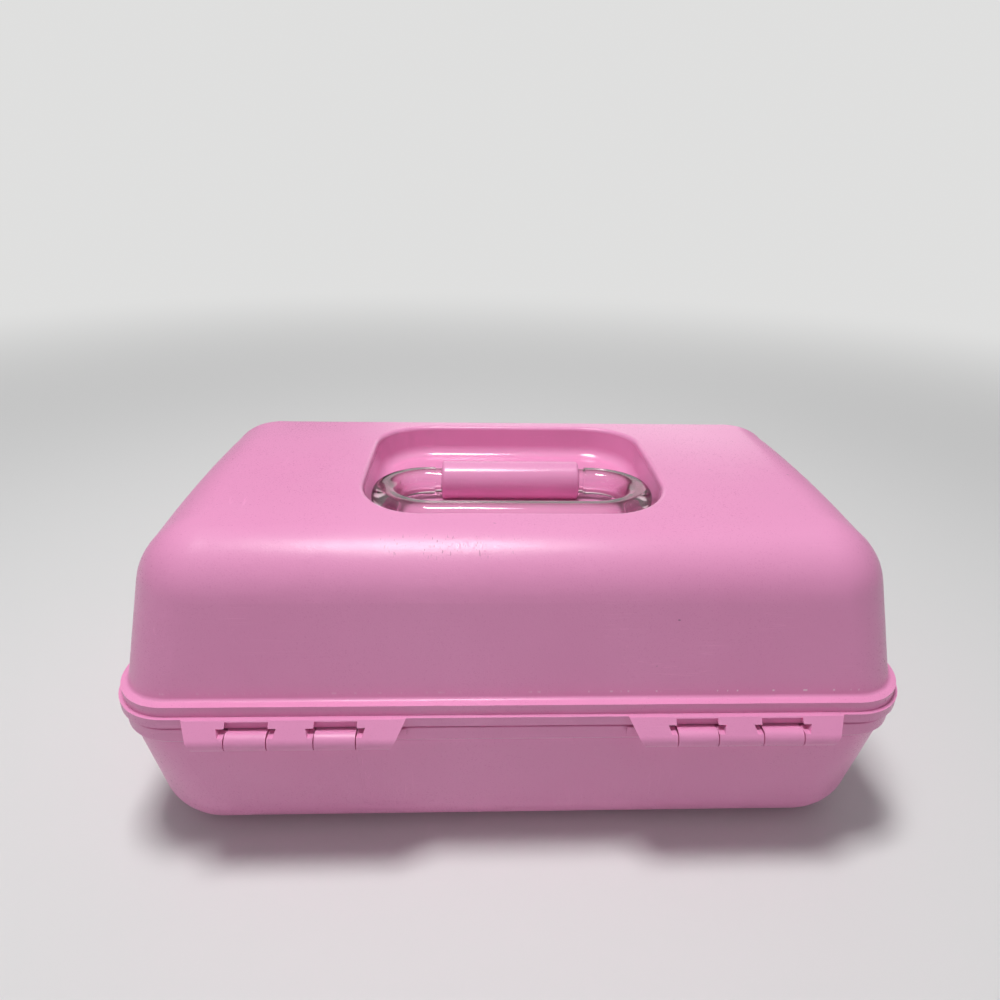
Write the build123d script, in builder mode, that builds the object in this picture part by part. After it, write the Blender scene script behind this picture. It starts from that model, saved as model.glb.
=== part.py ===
from build123d import *
import os
from math import cos, radians, sin, sqrt

# Makeup storage case: a base and a lid joined by snap hinges along the back, a clear folding
# handle in a recess of the lid, a snap latch at the front, a tray that swings up with the lid,
# and a mirror in the lid.  Millimetres.  X runs along the case, the hinges are at -Y, the latch
# is at +Y, and Z = 0 is the surface that the case stands on.

os.makedirs("parts", exist_ok=True)

# ---- overall sizes ----
case_length = 330.0  # along X, over the lid's lower flange
case_depth = 202.6  # along Y, over the lid's lower flange
lid_top_z = 140.4  # the crown's highest line
rim_corner = 26.0  # plan radius of the lower flange
wall = 2.2  # moulded wall of both shells

# ---- lid ----
lid_bottom_z = 67.8
ledge_z = 72.1  # top of the lower flange
flange_top_z = 76.8  # top of the upper flange
flange_step = 1.6  # the upper flange is set in by this much
lid_wall_inset = 5.1  # the long walls start this far inside the lower flange
lid_end_inset = 3.8  # the end walls start this far inside it
cove_r = 1.6  # hollow curve between the upper flange and the wall
lid_lean_x = 8.5  # how far the end walls lean in by the top
lid_lean_y = 15.0  # how far the long walls lean in by the top
lid_corner_low = 21.0
lid_corner_high = 31.0
lid_edge_r = 28.0  # round between the walls and the top
lid_crown_r = 760.0  # the top is arched from back to front

# ---- base ----
base_rim_z = 65.9
band_z = 60.0  # lower edge of the rim band
band_step_z = 57.5  # the chamfer under the band ends here
band_inset = 1.4
base_wall_inset = 3.4
base_lean_x = 1.6
base_lean_y = 1.4
base_bottom_z = 1.2
base_corner_low = 40.0
base_edge_r = 21.0
foot_inset = 27.0  # the foot ring runs this far inside the bottom's outline
foot_width = 5.0
rim_round = 0.6
tongue_width = 2.0
tongue_gap = 0.3  # beside the tongue and over it, to the inside of the lid's upper flange

# ---- hinges ----
hinge_out = 3.2  # the axis lies this far outside the lower flange
hinge_z = 64.2
barrel_r = 3.8
hinge_pin_r = 1.6
pin_fit = 0.06  # radial running clearance of every pin
stub_length = 5.0
knuckle_width = 15.9
knuckle_centres = (71.8, 106.4)
knuckle_gap = 0.5  # free room at each end of a knuckle
bracket_top_x = (44.5, 131.8)
bracket_bottom_x = (51.9, 126.6)
window_drop = 0.4  # solid strip between the ledge and a window
notch_top_reach = 3.2  # the side notches of a window narrow from this reach
notch_low_reach = 2.2  # to this one
notch_drop = 2.2  # from the ledge down to the side notches
notch_height = 2.6
arm_low_z = 59.9
arm_gap = 0.5  # between a knuckle's arm and the lid above it

# ---- handle and its recess ----
recess_room_x = 2.7  # room beside the folded handle
recess_room_y = 2.8  # room beyond the grip of the folded handle
recess_corner = 28.0
recess_floor_gap = 0.35  # between the floor and the handle's corners as they turn over it
recess_draft = 1.5  # the walls lean in by this much down to the floor
recess_lip_r = 2.0
recess_floor_r = 6.0
handle_axis_y = 2.2  # the recess and the handle lie this far towards the latch
handle_axis_z = 129.2
handle_barrel_r = 9.5
handle_barrel_x = 33.4
handle_barrel_round = 1.6  # round of the barrel's ends
handle_section = 12.6
handle_section_r = 5.0
handle_half_x = 59.0  # middle line of the arms
handle_reach = 45.0  # from the axis to the grip's middle line
handle_rise = 3.0  # the folded grip lies this much above the axis
handle_arm_r = 20.0
handle_grip_r = 24.0
handle_lug_r = 6.0
handle_pin_r = 4.0
handle_pin_length = 13.0
handle_end_gap = 0.3
handle_lug_end_x = 37.0  # the round lugs run out to here

# ---- latch ----
latch_half_x = 30.6
latch_out = 3.6  # the axis lies this far outside the lower flange
latch_z = 72.6
latch_knuckle_r = 3.1
latch_pin_r = 1.5
latch_ear = 4.0
latch_length = 20.5  # from the axis down to the finger lip
latch_plate = 2.6
latch_rest_angle = 5.2  # the stored latch rests on the keeper, not snapped in
keeper_half_x = 27.0
keeper_out = 2.4  # the keeper stands this far out of the rim band
keeper_z = (60.4, 63.2)
hook_height = 2.6
hook_bite = 0.9
hook_gap = 0.3  # between the snapped hook and the keeper's underside
latch_lip = 1.5  # the finger lip stands this far out of the plate
latch_round = 0.5

# ---- tray and the links that lift it ----
tray_bottom_z = 38.0
tray_top_z = 64.5
tray_wall = 1.8
tray_end_space = 18.9  # between the tray's ends and the base's tongue
tray_back_space = 11.2
tray_front_space = 3.2
tray_corner = 16.0
tray_lip = 1.6
tray_split_y = 18.0  # middle of the long partition
tray_cross_x = 47.0  # middle of the two cross partitions
divider_centres = (-69.0, 0.0, 69.0)
divider_thickness = 1.6
divider_fit = 0.15
divider_rib = 1.5
divider_drop = 3.0  # the dividers end this far under the tray's rim
divider_scoop_r = 12.0
divider_scoop = 8.0  # depth of the finger hollow in a divider's top
tray_floor_r = 2.0
tray_cell_corner = 5.0
link_reach = 48.0
link_drop = 8.0
link_thickness = 2.5
link_gap = 0.3
link_eye_r = 6.0
tray_boss_out = 4.7  # the tray's link bosses stand this far out of its ends
open_pivot_fit = 0.2  # radial room where a link holds the tray
tray_pivot_y = 50.0
tray_pivot_z = 46.0
pivot_boss_r = 5.5
pivot_pin_r = 2.2
pivot_head_r = 4.0
pivot_head = 1.2
base_pin_depth = 8.8  # how far the base's pivot pins reach into their bosses
lid_arm_out = 9.5  # from the tray's end to the lid arm
lid_arm_screw_z = 86.0
lid_arm_screw_offsets = (-7.5, 12.5)  # along Y from the lid's pivot
arm_eye_r = 6.5
screw_r = 1.4
screw_head_r = 3.0
screw_head = 1.4
screw_boss_r = 4.0
rest_rib = 3.0  # thickness of the ribs that the tray settles on
rest_ribs_x = 92.0
rest_gap = 0.3
rest_overlap = 5.0  # the ribs reach this far under the tray's edge

# ---- mirror ----
mirror_frame_x = 108.0
mirror_frame_y = 62.0
mirror_room = 1.1  # between the frame and the recess above it
mirror_frame_height = 7.0
mirror_corner = 10.0
mirror_border = 13.5  # visible width of the frame
mirror_round = 1.4  # round of the frame's lower edge
mirror_bezel = 1.8  # lip under the glass
mirror_overlap = 3.0  # how far the lip covers the glass
glass_thickness = 3.0
backing_thickness = 1.8
mirror_fit = 0.1
mirror_screw_x = 102.0
mirror_screw_y = 56.0
mirror_screw_length = 14.0

# ---- room for cuts ----
past = 1.0  # a cut runs this far past the surface that it opens
near = 0.01  # edges this close to a height are taken to lie on it

# ---- places that follow from the sizes above ----
recess_x = handle_half_x + handle_section / 2 + recess_room_x
recess_y = handle_reach + handle_section / 2 + recess_room_y
handle_corner_reach = handle_section_r + sqrt(2) * (handle_section / 2 - handle_section_r)
recess_floor_z = handle_axis_z - handle_corner_reach - recess_floor_gap
mirror_frame_bottom_z = recess_floor_z - wall - mirror_room - mirror_frame_height
half_x = case_length / 2
half_y = case_depth / 2
flange_half_x = half_x - flange_step
flange_half_y = half_y - flange_step
band_half_x = half_x - band_inset
band_half_y = half_y - band_inset
tongue_out_x = flange_half_x - wall - tongue_gap
tongue_out_y = flange_half_y - wall - tongue_gap
tongue_in_x = tongue_out_x - tongue_width
tongue_in_y = tongue_out_y - tongue_width
tongue_top_z = flange_top_z - wall - tongue_gap
hinge_y = -(half_y + hinge_out)
latch_y = half_y + latch_out
lid_pivot_y = hinge_y + link_reach
lid_pivot_z = hinge_z - link_drop
lid_arm_screw_y = [lid_pivot_y + offset for offset in lid_arm_screw_offsets]
base_pivot_y = tray_pivot_y - link_reach
base_pivot_z = tray_pivot_z + link_drop
tray_x = tongue_in_x - tray_end_space
tray_back_y = -(tongue_in_y - tray_back_space)
tray_front_y = tongue_in_y - tray_front_space
link_in_x = tray_x + tray_boss_out + link_gap
link_out_x = link_in_x + link_thickness
arm_in_x = tray_x + lid_arm_out
arm_out_x = arm_in_x + link_thickness
ceiling_z = lid_top_z - wall


def lid_wall_at(z):
    """Half length and half depth of the lid's outer wall at a height."""
    share = (z - flange_top_z) / (lid_top_z - flange_top_z)
    return (
        half_x - lid_end_inset - share * lid_lean_x,
        half_y - lid_wall_inset - share * lid_lean_y,
    )


def crown_z(y):
    """Height of the arched top at one Y."""
    return lid_top_z - lid_crown_r + sqrt(lid_crown_r**2 - y**2)


def base_wall_at(z):
    """Half length and half depth of the base's outer wall at a height."""
    share = (band_step_z - z) / (band_step_z - base_bottom_z)
    return (
        half_x - base_wall_inset - share * base_lean_x,
        half_y - base_wall_inset - share * base_lean_y,
    )


def tapered_block(low, high):
    """A block between two rounded rectangles, each given as height, half sizes and corner."""
    with BuildPart() as block:
        for z, block_x, block_y, corner in (low, high):
            with BuildSketch(Plane.XY.offset(z)):
                RectangleRounded(2 * block_x, 2 * block_y, corner)
        loft(ruled=True)
    return block.part


def straight_block(z_low, z_high, block_x, block_y, corner):
    """A block with upright walls and rounded corners in plan."""
    return tapered_block((z_low, block_x, block_y, corner), (z_high, block_x, block_y, corner))


def side_plane(x):
    """A plane across the case at one X, drawn in Y and Z."""
    return Plane(origin=(x, 0, 0), x_dir=(0, 1, 0), z_dir=(1, 0, 0))


# ---- lid_shell ----
def lid_body(inset, corner_trim):
    """The lid's leaning walls and rounded top, set in by an even wall."""
    low_x, low_y = lid_wall_at(flange_top_z)
    high_x, high_y = lid_wall_at(lid_top_z)
    body = tapered_block(
        (flange_top_z - wall, low_x - inset, low_y - inset, lid_corner_low - corner_trim),
        (lid_top_z, high_x - inset, high_y - inset, lid_corner_high - corner_trim),
    )
    with BuildPart() as rounded:
        add(body)
        with BuildSketch(side_plane(-half_x)):
            with Locations((0, lid_top_z - inset - lid_crown_r)):
                Circle(lid_crown_r)
        extrude(amount=case_length, mode=Mode.INTERSECT)
        fillet(rounded.faces().sort_by(Axis.Z)[-1].edges(), lid_edge_r - inset)
    return rounded.part


lid_outside = lid_body(0, 0)
lid_inside = lid_body(wall, wall)
with BuildPart() as recess_tub:
    add(
        straight_block(
            recess_floor_z - wall, lid_top_z, recess_x + wall, recess_y + wall, recess_corner + wall
        ).moved(Location((0, handle_axis_y, 0)))
    )
    add(lid_outside, mode=Mode.INTERSECT)
recess_space = tapered_block(
    (recess_floor_z, recess_x - recess_draft, recess_y - recess_draft, recess_corner - recess_draft),
    (lid_top_z, recess_x, recess_y, recess_corner),
).moved(Location((0, handle_axis_y, 0)))
lower_flange = straight_block(lid_bottom_z, ledge_z, half_x, half_y, rim_corner)
upper_flange = straight_block(
    ledge_z, flange_top_z, flange_half_x, flange_half_y, rim_corner - flange_step
)
lower_flange_space = straight_block(
    lid_bottom_z, ledge_z - wall, half_x - wall, half_y - wall, rim_corner - wall
)
upper_flange_space = straight_block(
    lid_bottom_z,
    flange_top_z - wall,
    flange_half_x - wall,
    flange_half_y - wall,
    rim_corner - flange_step - wall,
)


bracket_low_z = hinge_z - barrel_r - past


def bracket_section():
    """Outline of a hinge bracket seen from its end: a slope from the ledge to the barrel."""
    slope = barrel_r * cos(radians(45))
    slope_y = hinge_y - slope
    slope_z = hinge_z + slope
    return [
        (-(half_y - flange_step), ledge_z),
        (slope_y + ledge_z - slope_z, ledge_z),
        (slope_y, slope_z),
        (hinge_y, hinge_z),
        (-half_y, lid_bottom_z),
        (-(half_y - wall), lid_bottom_z),
    ]


def bracket_trim(top_x, bottom_x, away):
    """The corner that a bracket's slanted end leaves free, on the side that away points to."""
    low_z = bracket_low_z
    lean = (bottom_x - top_x) / (ledge_z - (hinge_z - barrel_r))
    return [
        (top_x, ledge_z),
        (top_x + lean * (ledge_z - low_z), low_z),
        (away, low_z),
        (away, ledge_z),
    ]


window_top_z = ledge_z - window_drop
notch_top_z = ledge_z - notch_drop
window_half = knuckle_width / 2 + knuckle_gap

with BuildPart() as right_bracket:
    with BuildSketch(side_plane(bracket_top_x[0])):
        with BuildLine():
            Polyline(*bracket_section(), close=True)
        make_face()
        with Locations((hinge_y, hinge_z)):
            Circle(barrel_r)
    extrude(amount=bracket_top_x[1] - bracket_top_x[0])
    for top_x, bottom_x, away in (
        (bracket_top_x[0], bracket_bottom_x[0], bracket_top_x[0] - past),
        (bracket_top_x[1], bracket_bottom_x[1], bracket_top_x[1] + past),
    ):
        with BuildSketch(Plane.XZ.offset(half_y)):
            with BuildLine():
                Polyline(*bracket_trim(top_x, bottom_x, away), close=True)
            make_face()
        extrude(amount=hinge_out + 2 * barrel_r, mode=Mode.SUBTRACT)
    for centre_x in knuckle_centres:
        for cut_low_half, cut_high_half, cut_low_z, cut_high_z, cut_start in (
            (window_half, window_half, bracket_low_z, lid_bottom_z, half_y - wall),
            (window_half, window_half, bracket_low_z, window_top_z, half_y),
            (
                window_half + notch_low_reach,
                window_half + notch_top_reach,
                notch_top_z - notch_height,
                notch_top_z,
                half_y,
            ),
        ):
            with BuildSketch(Plane.XZ.offset(cut_start)):
                with BuildLine():
                    Polyline(
                        (centre_x - cut_low_half, cut_low_z),
                        (centre_x + cut_low_half, cut_low_z),
                        (centre_x + cut_high_half, cut_high_z),
                        (centre_x - cut_high_half, cut_high_z),
                        close=True,
                    )
                make_face()
            extrude(amount=hinge_out + 3 * barrel_r, mode=Mode.SUBTRACT)
        for side in (-1, 1):
            with BuildSketch(side_plane(centre_x + side * window_half)):
                with Locations((hinge_y, hinge_z)):
                    Circle(hinge_pin_r)
            extrude(amount=-side * stub_length)

with BuildPart() as handle_barrel:
    with BuildSketch(side_plane(-handle_barrel_x)):
        with Locations((handle_axis_y, handle_axis_z)):
            Circle(handle_barrel_r)
    extrude(amount=2 * handle_barrel_x)
    fillet(handle_barrel.edges().filter_by(GeomType.CIRCLE), handle_barrel_round)
    with BuildSketch(side_plane(-handle_barrel_x)):
        with Locations((handle_axis_y, recess_floor_z - wall - lid_top_z / 2)):
            Rectangle(4 * handle_barrel_r, lid_top_z)
    extrude(amount=2 * handle_barrel_x, mode=Mode.SUBTRACT)

with BuildPart() as latch_ear_right:
    with BuildSketch(side_plane(latch_half_x + link_gap)):
        with BuildLine():
            Polyline(
                (half_y - wall / 2, lid_bottom_z),
                (half_y, lid_bottom_z),
                (latch_y, latch_z - latch_knuckle_r),
                (latch_y, latch_z + latch_knuckle_r),
                (flange_half_y - wall / 2, latch_z + latch_knuckle_r),
                (flange_half_y - wall / 2, ledge_z - wall / 2),
                (half_y - wall / 2, ledge_z - wall / 2),
                close=True,
            )
        make_face()
        with Locations((latch_y, latch_z)):
            Circle(latch_knuckle_r)
    extrude(amount=latch_ear)
    with BuildSketch(side_plane(latch_half_x + link_gap)):
        with Locations((latch_y, latch_z)):
            Circle(latch_pin_r)
    extrude(amount=-stub_length)

with BuildPart() as lid_shell:
    add(lid_outside)
    add(upper_flange)
    add(lower_flange)
    fillet(
        [
            edge
            for edge in lid_shell.edges().filter_by_position(
                Axis.Z, flange_top_z - near, flange_top_z + near
            )
            if all(
                abs(v.X) < flange_half_x - past and abs(v.Y) < flange_half_y - past
                for v in edge.vertices()
            )
        ],
        cove_r,
    )
    add(lid_inside, mode=Mode.SUBTRACT)
    add(upper_flange_space, mode=Mode.SUBTRACT)
    add(lower_flange_space, mode=Mode.SUBTRACT)

    # handle recess, with the barrel that takes the handle's pins
    add(recess_tub.part)
    add(recess_space, mode=Mode.SUBTRACT)
    recess_rim = [
        edge
        for edge in lid_shell.edges()
        if all(
            abs(v.X) < recess_x + wall / 2
            and abs(v.Y - handle_axis_y) < recess_y + wall / 2
            and abs(v.Z - crown_z(v.Y)) < wall / 2
            for v in edge.vertices()
        )
    ]
    fillet(recess_rim, recess_lip_r)
    fillet(
        lid_shell.edges().filter_by_position(Axis.Z, recess_floor_z - near, recess_floor_z + near),
        recess_floor_r,
    )
    add(handle_barrel.part)
    for side in (-1, 1):
        with BuildSketch(side_plane(side * handle_barrel_x)):
            with Locations((handle_axis_y, handle_axis_z)):
                Circle(handle_pin_r + pin_fit)
        extrude(amount=-side * (handle_pin_length + past), mode=Mode.SUBTRACT)

    # posts under the top for the mirror's screws
    with BuildSketch(Plane.XY.offset(mirror_frame_bottom_z + mirror_frame_height)):
        with GridLocations(2 * mirror_screw_x, 2 * mirror_screw_y, 2, 2):
            Circle(screw_boss_r)
            Circle(screw_r + pin_fit, mode=Mode.SUBTRACT)
    post_top_z = crown_z(mirror_screw_y + screw_boss_r) - wall / 3
    extrude(amount=post_top_z - mirror_frame_bottom_z - mirror_frame_height)

    # bosses in the end walls for the lid arms
    for side in (-1, 1):
        boss_end_x = lid_wall_at(lid_arm_screw_z)[0] - wall / 2
        with BuildSketch(side_plane(side * arm_out_x)):
            for screw_y in lid_arm_screw_y:
                with Locations((screw_y, lid_arm_screw_z)):
                    Circle(screw_boss_r)
        extrude(amount=side * (boss_end_x - arm_out_x))
        with BuildSketch(side_plane(side * arm_out_x)):
            for screw_y in lid_arm_screw_y:
                with Locations((screw_y, lid_arm_screw_z)):
                    Circle(screw_r + pin_fit)
        extrude(amount=side * (boss_end_x - arm_out_x - wall / 4), mode=Mode.SUBTRACT)

    # hinge brackets at the back and latch ears at the front
    add(right_bracket.part)
    add(mirror(right_bracket.part, about=Plane.YZ, mode=Mode.PRIVATE))
    add(latch_ear_right.part)
    add(mirror(latch_ear_right.part, about=Plane.YZ, mode=Mode.PRIVATE))

lid_shell.part.label = "lid_shell"
export_step(lid_shell.part, "parts/lid_shell.step")


# ---- base_shell ----
def base_body(inset, corner_trim, edge_r):
    """The base's leaning walls with its rounded bottom edge, set in by an even wall."""
    low_x, low_y = base_wall_at(base_bottom_z)
    high_x, high_y = base_wall_at(band_step_z)
    body = tapered_block(
        (base_bottom_z + inset, low_x - inset, low_y - inset, base_corner_low - corner_trim),
        (band_step_z, high_x - inset, high_y - inset, rim_corner - base_wall_inset - corner_trim),
    )
    with BuildPart() as rounded:
        add(body)
        fillet(rounded.edges().group_by(Axis.Z)[0], edge_r)
    return rounded.part


base_outside = base_body(0, 0, base_edge_r)
base_inside = base_body(wall, wall, base_edge_r - wall)
rib_top_z = tray_bottom_z - rest_gap
with BuildPart() as base_space:
    add(base_inside)
    for side_x in (-1, 1):
        for rib_end_y in (tray_back_y + rest_overlap, tray_front_y - rest_overlap):
            wall_y = half_y if rib_end_y > 0 else -half_y
            with BuildSketch(Plane.XY):
                with Locations((side_x * rest_ribs_x, (rib_end_y + wall_y) / 2)):
                    Rectangle(rest_rib, abs(wall_y - rib_end_y))
            extrude(amount=rib_top_z, mode=Mode.SUBTRACT)
wall_top_x, wall_top_y = base_wall_at(band_step_z)
band_chamfer = tapered_block(
    (band_step_z, wall_top_x, wall_top_y, rim_corner - base_wall_inset),
    (band_z, band_half_x, band_half_y, rim_corner - band_inset),
)
rim_band = straight_block(band_z, base_rim_z, band_half_x, band_half_y, rim_corner - band_inset)
tongue = straight_block(
    base_rim_z,
    tongue_top_z,
    tongue_out_x,
    tongue_out_y,
    rim_corner - flange_step - wall - tongue_gap,
)
rim_space = straight_block(
    band_step_z,
    tongue_top_z,
    tongue_in_x,
    tongue_in_y,
    rim_corner - flange_step - wall - tongue_gap - tongue_width,
)
floor_x, floor_y = base_wall_at(base_bottom_z)
foot_out_x = floor_x - foot_inset
foot_out_y = floor_y - foot_inset

with BuildPart() as base_shell:
    add(base_outside)
    add(band_chamfer)
    add(rim_band)
    fillet(base_shell.edges().group_by(Axis.Z)[-1], rim_round)
    add(tongue)
    add(base_space.part, mode=Mode.SUBTRACT)
    add(rim_space, mode=Mode.SUBTRACT)

    # foot ring
    with BuildSketch(Plane.XY):
        RectangleRounded(2 * foot_out_x, 2 * foot_out_y, 2 * foot_width)
        RectangleRounded(
            2 * (foot_out_x - foot_width),
            2 * (foot_out_y - foot_width),
            foot_width,
            mode=Mode.SUBTRACT,
        )
    extrude(amount=base_bottom_z + wall / 2)

    # hinge knuckles, each on an arm from the rim band
    arm_length = abs(hinge_y) - band_half_y + wall
    arm_mid_y = hinge_y + arm_length / 2
    arm_high_z = lid_bottom_z - arm_gap
    for side in (-1, 1):
        for centre_x in knuckle_centres:
            start_x = side * centre_x - knuckle_width / 2
            with BuildSketch(side_plane(start_x)):
                with Locations((hinge_y, hinge_z)):
                    Circle(barrel_r)
                with Locations((arm_mid_y, (arm_low_z + arm_high_z) / 2)):
                    Rectangle(arm_length, arm_high_z - arm_low_z)
            extrude(amount=knuckle_width)
            with BuildSketch(side_plane(start_x)):
                with Locations((hinge_y, hinge_z)):
                    Circle(hinge_pin_r + pin_fit)
            extrude(amount=knuckle_width, mode=Mode.SUBTRACT)

    # keeper for the latch
    with BuildSketch(Plane.XY.offset(keeper_z[0])):
        with Locations((0, band_half_y + keeper_out / 2 - wall / 4)):
            Rectangle(2 * keeper_half_x, keeper_out + wall / 2)
    extrude(amount=keeper_z[1] - keeper_z[0])

    # bosses in the end walls for the links
    for side in (-1, 1):
        boss_end_x = base_wall_at(base_pivot_z)[0] - wall / 2
        with BuildSketch(side_plane(side * (link_out_x + link_gap))):
            with Locations((base_pivot_y, base_pivot_z)):
                Circle(pivot_boss_r)
        extrude(amount=side * (boss_end_x - link_out_x - link_gap))
        with BuildSketch(side_plane(side * (link_out_x + link_gap))):
            with Locations((base_pivot_y, base_pivot_z)):
                Circle(pivot_pin_r)
        extrude(amount=side * (boss_end_x - link_out_x - link_gap - wall / 2), mode=Mode.SUBTRACT)

base_shell.part.label = "base_shell"
export_step(base_shell.part, "parts/base_shell.step")


# ---- handle ----
handle_tilt = handle_rise / handle_reach
handle_plane = Plane(
    origin=(0, handle_axis_y, handle_axis_z),
    x_dir=(1, 0, 0),
    z_dir=(0, handle_tilt, sqrt(1 - handle_tilt**2)),
)
with BuildPart() as handle:
    with BuildLine(handle_plane) as handle_path:
        FilletPolyline(
            (handle_lug_end_x, 0),
            (handle_half_x, 0),
            (handle_half_x, -handle_reach),
            (-handle_half_x, -handle_reach),
            (-handle_half_x, 0),
            (-handle_lug_end_x, 0),
            radius=(handle_arm_r, handle_grip_r, handle_grip_r, handle_arm_r),
        )
    with BuildSketch(
        Plane(
            origin=(handle_lug_end_x, handle_axis_y, handle_axis_z),
            x_dir=handle_plane.y_dir,
            z_dir=(1, 0, 0),
        )
    ):
        RectangleRounded(handle_section, handle_section, handle_section_r)
    sweep(path=handle_path.wires()[0])
    for side in (-1, 1):
        lug_start_x = side * (handle_barrel_x + handle_end_gap)
        with BuildSketch(side_plane(lug_start_x)):
            with Locations((handle_axis_y, handle_axis_z)):
                Circle(handle_lug_r)
        extrude(amount=side * (handle_lug_end_x + past - handle_barrel_x - handle_end_gap))
        with BuildSketch(side_plane(lug_start_x)):
            with Locations((handle_axis_y, handle_axis_z)):
                Circle(handle_pin_r)
        extrude(amount=-side * handle_pin_length)

handle.part.label = "handle"
export_step(handle.part, "parts/handle.step")


# ---- latch ----
# Drawn from its axis, outwards and upwards, and turned out from the snapped place onto the keeper.
latch_plane = Plane(
    origin=(-latch_half_x, latch_y, latch_z),
    x_dir=(0, cos(radians(latch_rest_angle)), sin(radians(latch_rest_angle))),
    z_dir=(1, 0, 0),
)
plate_out = latch_knuckle_r
plate_in = latch_knuckle_r - latch_plate
hook_top = keeper_z[0] - hook_gap - latch_z
hook_tip = band_half_y + keeper_out - hook_bite - latch_y
with BuildPart() as latch:
    with BuildSketch(latch_plane):
        Circle(latch_knuckle_r)
        with BuildLine():
            Polyline(
                (plate_in, 0),
                (plate_out, 0),
                (plate_out, -latch_length + 2 * latch_lip),
                (plate_out + latch_lip, -latch_length + latch_lip),
                (plate_out + latch_lip, -latch_length),
                (plate_out, -latch_length),
                (plate_in, -latch_length + 2 * latch_lip),
                close=True,
            )
        make_face()
        with BuildLine():
            Polyline(
                (plate_in, hook_top + hook_bite),
                (plate_in, hook_top - hook_height - hook_bite),
                (hook_tip, hook_top - hook_height),
                (hook_tip, hook_top),
                close=True,
            )
        make_face()
    extrude(amount=2 * latch_half_x)
    fillet(latch.edges().filter_by(Axis.X).group_by(Axis.Z)[0], latch_round)
    for side in (-1, 1):
        with BuildSketch(side_plane(side * latch_half_x)):
            with Locations((latch_y, latch_z)):
                Circle(latch_pin_r + pin_fit)
        extrude(amount=-side * (stub_length + link_gap), mode=Mode.SUBTRACT)

latch.part.label = "latch"
export_step(latch.part, "parts/latch.step")


# ---- tray ----
tray_mid_y = (tray_front_y + tray_back_y) / 2
tray_half_y = (tray_front_y - tray_back_y) / 2
tray_floor_z = tray_bottom_z + tray_wall
inside_back_y = tray_back_y + tray_wall
inside_front_y = tray_front_y - tray_wall
split_back_y = tray_split_y - tray_wall / 2
split_front_y = tray_split_y + tray_wall / 2
inside_x = tray_x - tray_wall
cross_half = tray_wall / 2
back_cells = (
    (-inside_x, -tray_cross_x - cross_half),
    (-tray_cross_x + cross_half, tray_cross_x - cross_half),
    (tray_cross_x + cross_half, inside_x),
)
with BuildPart() as tray:
    with BuildSketch(Plane.XY.offset(tray_bottom_z)):
        with Locations((0, tray_mid_y)):
            RectangleRounded(2 * tray_x, 2 * tray_half_y, tray_corner)
    extrude(amount=tray_top_z - tray_bottom_z)
    fillet(tray.edges().group_by(Axis.Z)[0], tray_floor_r)
    with BuildSketch(Plane.XY.offset(tray_top_z - tray_wall)):
        with Locations((0, tray_mid_y)):
            RectangleRounded(
                2 * (tray_x + tray_lip), 2 * (tray_half_y + tray_lip), tray_corner + tray_lip
            )
    extrude(amount=tray_wall)
    with BuildSketch(Plane.XY.offset(tray_floor_z)):
        for low_x, high_x in back_cells:
            with Locations(((low_x + high_x) / 2, (inside_back_y + split_back_y) / 2)):
                RectangleRounded(high_x - low_x, split_back_y - inside_back_y, tray_cell_corner)
        with Locations((0, (split_front_y + inside_front_y) / 2)):
            RectangleRounded(2 * inside_x, inside_front_y - split_front_y, tray_cell_corner)
    extrude(amount=tray_top_z - tray_floor_z, mode=Mode.SUBTRACT)

    # pairs of ribs that hold the loose dividers
    rib_offset = divider_thickness / 2 + divider_fit + divider_rib / 2
    with BuildSketch(Plane.XY.offset(tray_floor_z)):
        for centre_x in divider_centres:
            for rib_x in (centre_x - rib_offset, centre_x + rib_offset):
                for rib_y in (split_front_y + divider_rib / 2, inside_front_y - divider_rib / 2):
                    with Locations((rib_x, rib_y)):
                        Rectangle(divider_rib, divider_rib)
    extrude(amount=tray_top_z - divider_drop - tray_floor_z)

    # bosses for the links and the lid arms
    for side in (-1, 1):
        for boss_y, boss_z, boss_out, bore_r in (
            (tray_pivot_y, tray_pivot_z, tray_boss_out, pivot_pin_r),
            (lid_pivot_y, lid_pivot_z, arm_in_x - link_gap - tray_x, pivot_pin_r + pin_fit),
        ):
            with BuildSketch(side_plane(side * (tray_x - tray_wall / 2))):
                with Locations((boss_y, boss_z)):
                    Circle(pivot_boss_r)
            extrude(amount=side * (boss_out + tray_wall / 2))
            with BuildSketch(side_plane(side * inside_x)):
                with Locations((boss_y, boss_z)):
                    Circle(bore_r)
            extrude(amount=side * (boss_out + tray_wall), mode=Mode.SUBTRACT)

tray.part.label = "tray"
export_step(tray.part, "parts/tray.step")


# ---- tray_divider_1 to tray_divider_3 ----
divider_top_z = tray_top_z - divider_drop
divider_mid_y = (split_front_y + inside_front_y) / 2
divider_width = inside_front_y - split_front_y - 2 * divider_fit
for number, centre_x in enumerate(divider_centres, start=1):
    with BuildPart() as divider:
        with BuildSketch(side_plane(centre_x - divider_thickness / 2)):
            with Locations((divider_mid_y, (tray_floor_z + divider_top_z) / 2)):
                Rectangle(divider_width, divider_top_z - tray_floor_z)
            with Locations((divider_mid_y, divider_top_z + divider_scoop_r - divider_scoop)):
                Circle(divider_scoop_r, mode=Mode.SUBTRACT)
        extrude(amount=divider_thickness)
    divider.part.label = f"tray_divider_{number}"
    export_step(divider.part, f"parts/tray_divider_{number}.step")


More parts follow.
